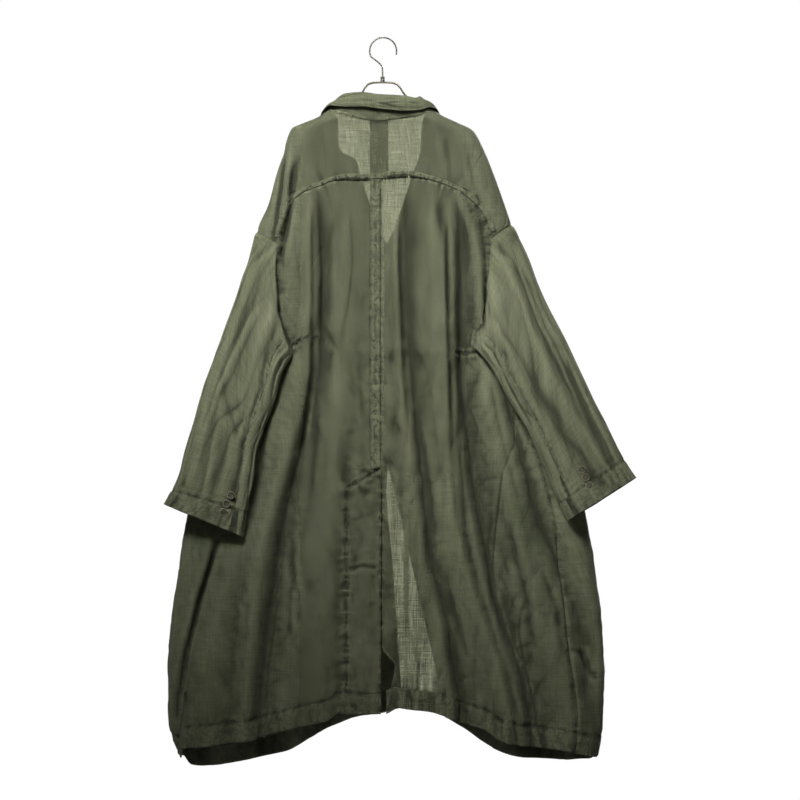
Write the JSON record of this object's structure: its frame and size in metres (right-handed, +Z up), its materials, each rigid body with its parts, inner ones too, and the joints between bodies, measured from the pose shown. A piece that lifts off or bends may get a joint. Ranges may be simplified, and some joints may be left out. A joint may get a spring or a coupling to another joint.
{
  "type": "linen long coat on a wire hanger",
  "caption": "Unlined oversized linen long coat seen hanging from its back, with notched collar, arched yoke, centre vent and buttoned cuffs, on a thin wire hanger.",
  "frame": {"origin": "underside of the wire at the top of the hanger's hook, where a rail bears", "axes": "+Z up, -Y out of the coat's back, -X towards the wearer's left side"},
  "size_m": [0.894, 0.1699, 1.4008],
  "materials": {
    "linen": "matte",
    "linen_inside": "matte",
    "button_horn": "satin",
    "wire_steel": "satin"
  },
  "bodies": {
    "root": {"back_left": "linen", "back_right": "linen", "back_yoke": "linen", "centre_back_seam": "linen", "yoke_seam": "linen", "front_left": "linen", "front_right": "linen", "lapel_left": "linen", "lapel_right": "linen", "collar_stand": "linen", "collar_fall": "linen", "sleeve_left_top": "linen", "sleeve_left_under": "linen", "sleeve_right_top": "linen", "sleeve_right_under": "linen", "yoke_strip": "linen_inside", "vent_facing": "linen_inside", "vent_underlap": "linen_inside", "cuff_button_left_1": "button_horn", "cuff_button_left_2": "button_horn", "cuff_button_left_3": "button_horn", "cuff_button_right_1": "button_horn", "cuff_button_right_2": "button_horn", "cuff_button_right_3": "button_horn", "front_button_1": "button_horn", "front_button_2": "button_horn", "front_button_3": "button_horn", "hanger_hook": "wire_steel", "hanger_ferrule": "wire_steel", "hanger_frame": "wire_steel"}
  },
  "joints": []
}
